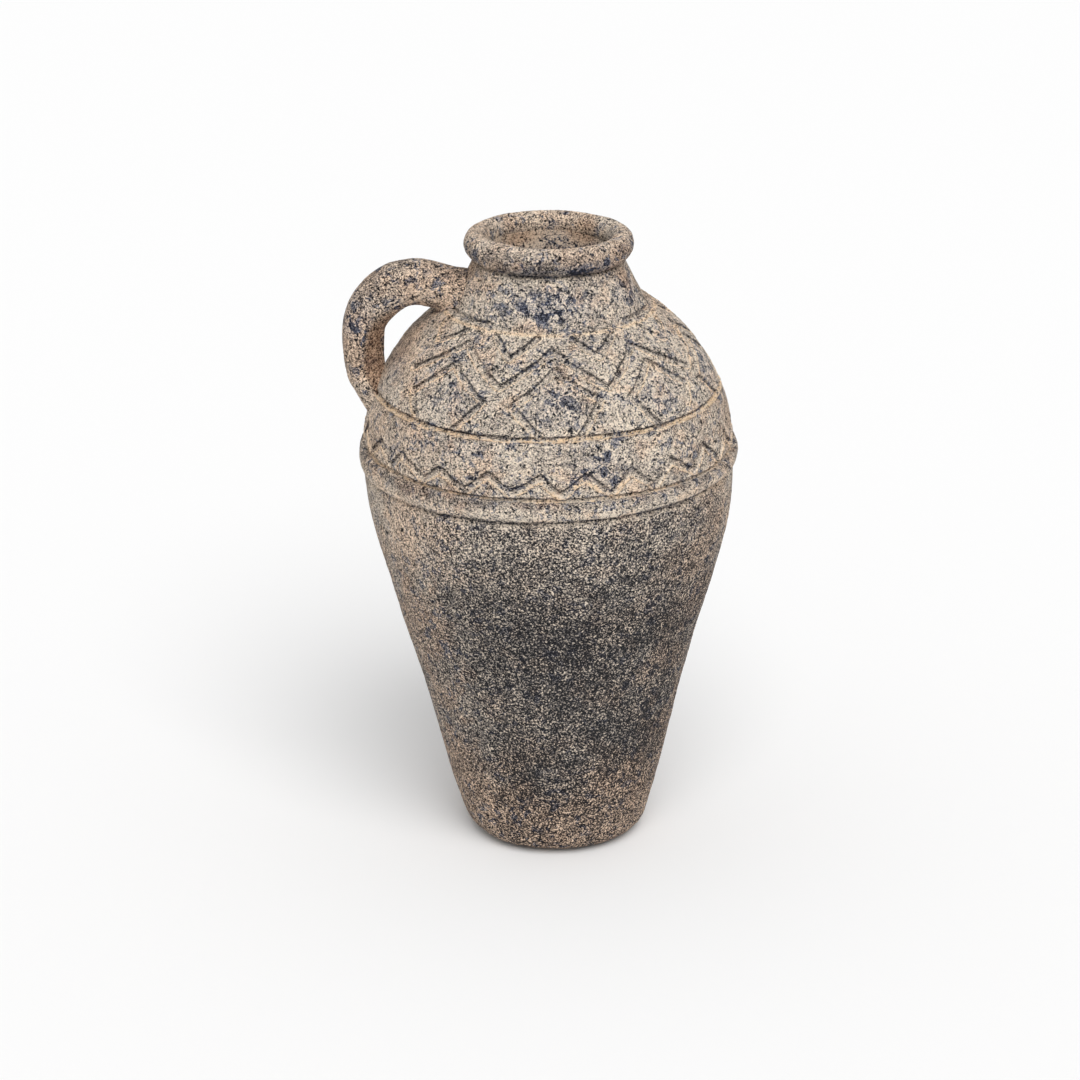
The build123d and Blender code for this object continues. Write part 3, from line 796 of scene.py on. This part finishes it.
def makeHandle():
    line, lineStep = strapLine(), strap["lineStep"]
    tangent = np.gradient(line, axis=0)
    tangent = np.column_stack([smoothed(column, strap["lineBlur"]) for column in tangent.T])
    tangent /= np.linalg.norm(tangent, axis=1)[:, None]
    freeOf = [i for i in range(len(line)) if not insidePot((line[i, 0], 0, line[i, 1]))]
    root = int(strap["rootLength"] / lineStep)
    elbow = int(np.argmin(line[:, 0] - line[:, 1]))
    first, last = freeOf[0] + root, freeOf[-1] - root
    # a squarish oval: one axis across the strap, one from the grip side to the outer side
    turn = np.linspace(0, 2 * math.pi, strap["around"], endpoint=False)
    across = np.sign(np.sin(turn)) * np.abs(np.sin(turn)) ** strap["square"]
    outer = np.sign(np.cos(turn)) * np.abs(np.cos(turn)) ** strap["square"]
    flatSide = np.array([math.cos(math.radians(strap["flatTurn"])), -math.sin(math.radians(strap["flatTurn"]))])

    def section(index):
        thick = np.interp(index, [0, len(line)], strap["thickness"]) * mm / 2
        local = np.stack([outer * thick, across * strap["width"] / 2 * mm], -1)
        # a flat pressed along the grip side below the elbow, and clay filled into the elbow's inside
        past = (index - elbow) * lineStep
        reach = thick * np.interp(past, [0, strap["flatLength"]], strap["flatReach"])
        local -= np.clip(local @ flatSide - reach, 0, None)[:, None] * flatSide
        fill = strap["elbowFill"] * math.exp(-0.5 * (past / strap["elbowReach"]) ** 2)
        local[:, 0] += fill * np.clip(outer, 0, 1)
        tail = np.clip(1 - (len(line) - index) * lineStep / strap["tailLength"], 0, 1)
        local[:, 0] *= np.where(outer < 0, 1 - strap["tailTaper"] * tail, 1)
        side = np.array([-tangent[index, 1], tangent[index, 0]])
        spot = line[index][None] + side[None] * local[:, :1]
        return np.column_stack([spot[:, 0], local[:, 1], spot[:, 1]])

    def rootRings(index, way):
        # from a free section down on to the skin, each thread bending away from the root's middle
        ring = section(index)
        heading = np.array([tangent[index, 0], 0, tangent[index, 1]]) * way
        hits = []
        for number, start in enumerate(ring):
            # the tail's outer threads turn in towards the pot
            course = heading + np.array([strap["tailTurn"] * (way > 0) * (1 - outer[number]), 0, 0])
            course /= np.linalg.norm(course)
            reach = 0
            while not insidePot(start + course * reach) and reach < strap["probeMost"]:
                reach += strap["probeStep"]
            hits.append(start + course * reach)
        hits = np.array(hits)
        middle = hits.mean(0)
        ends = []
        for number, spot in enumerate(hits):
            away = spot - middle
            away /= np.linalg.norm(away)
            wander = sum((amount * math.sin(count * turn[number] + start)
                          for amount, count, start in strap["spreadWaves"]), 1)
            spread = strap["outerSpread"] + (strap["gripSpread"] - strap["outerSpread"]) * (outer[number] + 1) / 2
            end = spot + away * spread * wander
            end[2] = min(end[2], strap["rootTop"])
            end[:2] *= (skinRadius(end[2]) - strap["rootSink"]) / np.linalg.norm(end[:2])
            ends.append(end)
        ends = np.array(ends)
        rings = []
        for share in np.linspace(0, 1, strap["fillet"] + 1)[1:]:
            rings.append(ring * (1 - share) ** 2 + hits * 2 * share * (1 - share) + ends * share ** 2)
        buried = ends.copy()
        buried[:, :2] *= 1 - (strap["rootBuried"] / np.linalg.norm(ends[:, :2], axis=1))[:, None]
        rings.append(buried)
        return rings

    stations = np.linspace(first, last, int((last - first) * lineStep / strap["step"])).round().astype(int)
    rings = rootRings(first, -1)[::-1] + [section(i) for i in stations] + rootRings(last, 1)
    points = np.concatenate(rings)
    count = strap["around"]
    here = np.arange(count)
    ahead = (here + 1) % count
    faces = []
    for row in range(len(rings) - 1):
        low, high = row * count, (row + 1) * count
        faces += np.stack([low + here, low + ahead, high + ahead, high + here], -1).tolist()
    points = np.vstack([points, rings[0].mean(0), rings[-1].mean(0)])
    head, tail = len(points) - 2, len(points) - 1
    end = (len(rings) - 1) * count
    faces += [[head, int(b), int(a)] for a, b in zip(here, ahead)]
    faces += [[end + int(a), end + int(b), tail] for a, b in zip(here, ahead)]
    mesh = bpy.data.meshes.new("strapHandle")
    mesh.from_pydata(points.tolist(), [], faces)
    normals = np.empty(len(points) * 3, np.float32)
    mesh.vertices.foreach_get("normal", normals)
    normals = normals.reshape(-1, 3)
    # turned outward, as a point halfway along tells
    halfway = stations[len(stations) // 2]
    spoke = section(halfway)[0] - np.array([line[halfway][0], 0, line[halfway][1]])
    if normals[(strap["fillet"] + 1 + len(stations) // 2) * count] @ spoke < 0:
        mesh.flip_normals()
        normals = -normals
    skin = np.ones(len(points))
    skin[:count] = skin[end:] = 0
    # rust on the grip's flat and a brow over the arch, with a dark crease along the flat's edge
    along = np.repeat(np.arange(len(rings)), count)
    share = (along - strap["fillet"]) / len(stations)
    stain, tone, wash = np.zeros(len(points)), np.zeros(len(points)), np.zeros(len(points))
    grip = np.tile(outer * flatSide[0] + across * flatSide[1], len(rings))
    past = first + (last - first) * (along - strap["fillet"]) / len(stations) - elbow
    widened = np.clip(past * lineStep / strap["flatLength"], 0, 1)
    flatEdge = strap["flatEdge"][0] - strap["flatEdge"][1] * widened
    rust = np.clip((grip - flatEdge) * strap["rust"], 0, strap["rustMost"])
    browSide = np.clip(1 - 2 * np.abs(outer - strap["browSide"]), 0, 1)
    brow = bellCurve(share, *strap["brow"]) * np.tile(browSide, len(rings))
    stain[:len(along)] = np.maximum(rust, brow)
    # painted shade where the roots meet the pot, and wash under the arch and on the back
    nearRoot = np.clip(1 - np.minimum(along, len(rings) - 1 - along) / strap["rootRows"], 0, 1)
    crease = bellCurve(grip, 1, flatEdge, strap["creaseReach"]) * np.clip(4 * widened * (1 - widened), 0, 1)
    tone[:len(along)] = strap["tone"] + strap["rootPaintedShade"] * nearRoot + strap["creaseDark"] * crease
    inner = np.tile(np.clip(outer + strap["archSide"], 0, 1), len(rings))
    outside = np.tile(np.clip(strap["backSide"] - outer, 0, 1), len(rings))
    wash[:len(along)] = (bellCurve(share, *strap["archWash"]) * inner
                         + bellCurve(share, *strap["backWash"]) * outside)
    addPointData(mesh, normals, skin=skin, stain=stain, tone=tone, wash=wash,
                 chill=np.full(len(points), strap["chill"]))
    finishPiece("strapHandle", mesh, "handle", **strap["surface"])


makeHandle()
for helper in (shoulderLines, bandLines, scoredLines, neckLines, seamLines, plainLines):
    bpy.data.objects.remove(helper)

# floor, light and camera; turns in degrees
stage = {"floorHalf": 12.0, "sheet": "#f4f4f4", "fibre": 4 * mm, "softLight": 0.62, "backdrop": 1.0,
         "sunEnergy": 1.9, "sunAngle": 40, "sunTurn": (38, 0, 13),
         "cameraPlace": (-0.0081, -2.789, 1.3994), "cameraDip": 21.612, "lens": 104.85, "sensor": 36}


def paperMaterial(name, code):
    # heavy studio paper: pale and quite matt to the eye, with a trace of its fibres
    material = bpy.data.materials.new(name)
    material.use_nodes = True
    tree = material.node_tree
    tree.nodes.clear()
    add = partial(addNode, tree)
    place = add("ShaderNodeTexCoord").outputs["Object"]
    fibre = add("ShaderNodeTexNoise", {"Vector": place, "Scale": 1 / stage["fibre"], "Detail": 3})
    bump = add("ShaderNodeBump", {"Strength": 0.05, "Distance": 0.2 * mm, "Height": fibre})
    shader = add("ShaderNodeBsdfPrincipled", {"Base Color": linearColour(code), "Roughness": 0.95,
                                              "Specular IOR Level": 0.1, "Normal": bump})
    add("ShaderNodeOutputMaterial", {"Surface": shader})
    return material


def makeStage():
    mesh = bpy.data.meshes.new("studioFloor")
    half = stage["floorHalf"]
    mesh.from_pydata([(-half, -half, 0), (half, -half, 0), (half, half, 0), (-half, half, 0)], [], [(0, 1, 2, 3)])
    mesh.materials.append(paperMaterial("paleStudioSheet", stage["sheet"]))
    floor = bpy.data.objects.new("studioFloor", mesh)
    scene.collection.objects.link(floor)
    # the world lights softly, and the camera sees it white
    world = bpy.data.worlds.new("studioWorld")
    scene.world = world
    world.use_nodes = True
    tree = world.node_tree
    tree.nodes.clear()
    add = partial(addNode, tree)
    seen = add("ShaderNodeLightPath").outputs["Is Camera Ray"]
    soft = add("ShaderNodeBackground", {"Color": (1, 1, 1, 1), "Strength": stage["softLight"]})
    white = add("ShaderNodeBackground", {"Color": (1, 1, 1, 1), "Strength": stage["backdrop"]})
    add("ShaderNodeOutputWorld", {"Surface": add("ShaderNodeMixShader", [seen, soft, white])})
    # the sun comes from above and in front, a little to the right
    sun = bpy.data.objects.new("softSun", bpy.data.lights.new("softSun", "SUN"))
    sun.data.energy = stage["sunEnergy"]
    sun.data.angle = math.radians(stage["sunAngle"])
    sun.rotation_euler = [math.radians(turn) for turn in stage["sunTurn"]]
    scene.collection.objects.link(sun)
    camera = bpy.data.objects.new("camera", bpy.data.cameras.new("camera"))
    camera.location = stage["cameraPlace"]
    camera.rotation_euler = (math.radians(90 - stage["cameraDip"]), 0, 0)
    camera.data.lens = stage["lens"]
    camera.data.sensor_width = stage["sensor"]
    camera.data.sensor_fit = "HORIZONTAL"
    scene.collection.objects.link(camera)
    scene.camera = camera
    scene.view_settings.view_transform = "Standard"
    print("stage set")


makeStage()
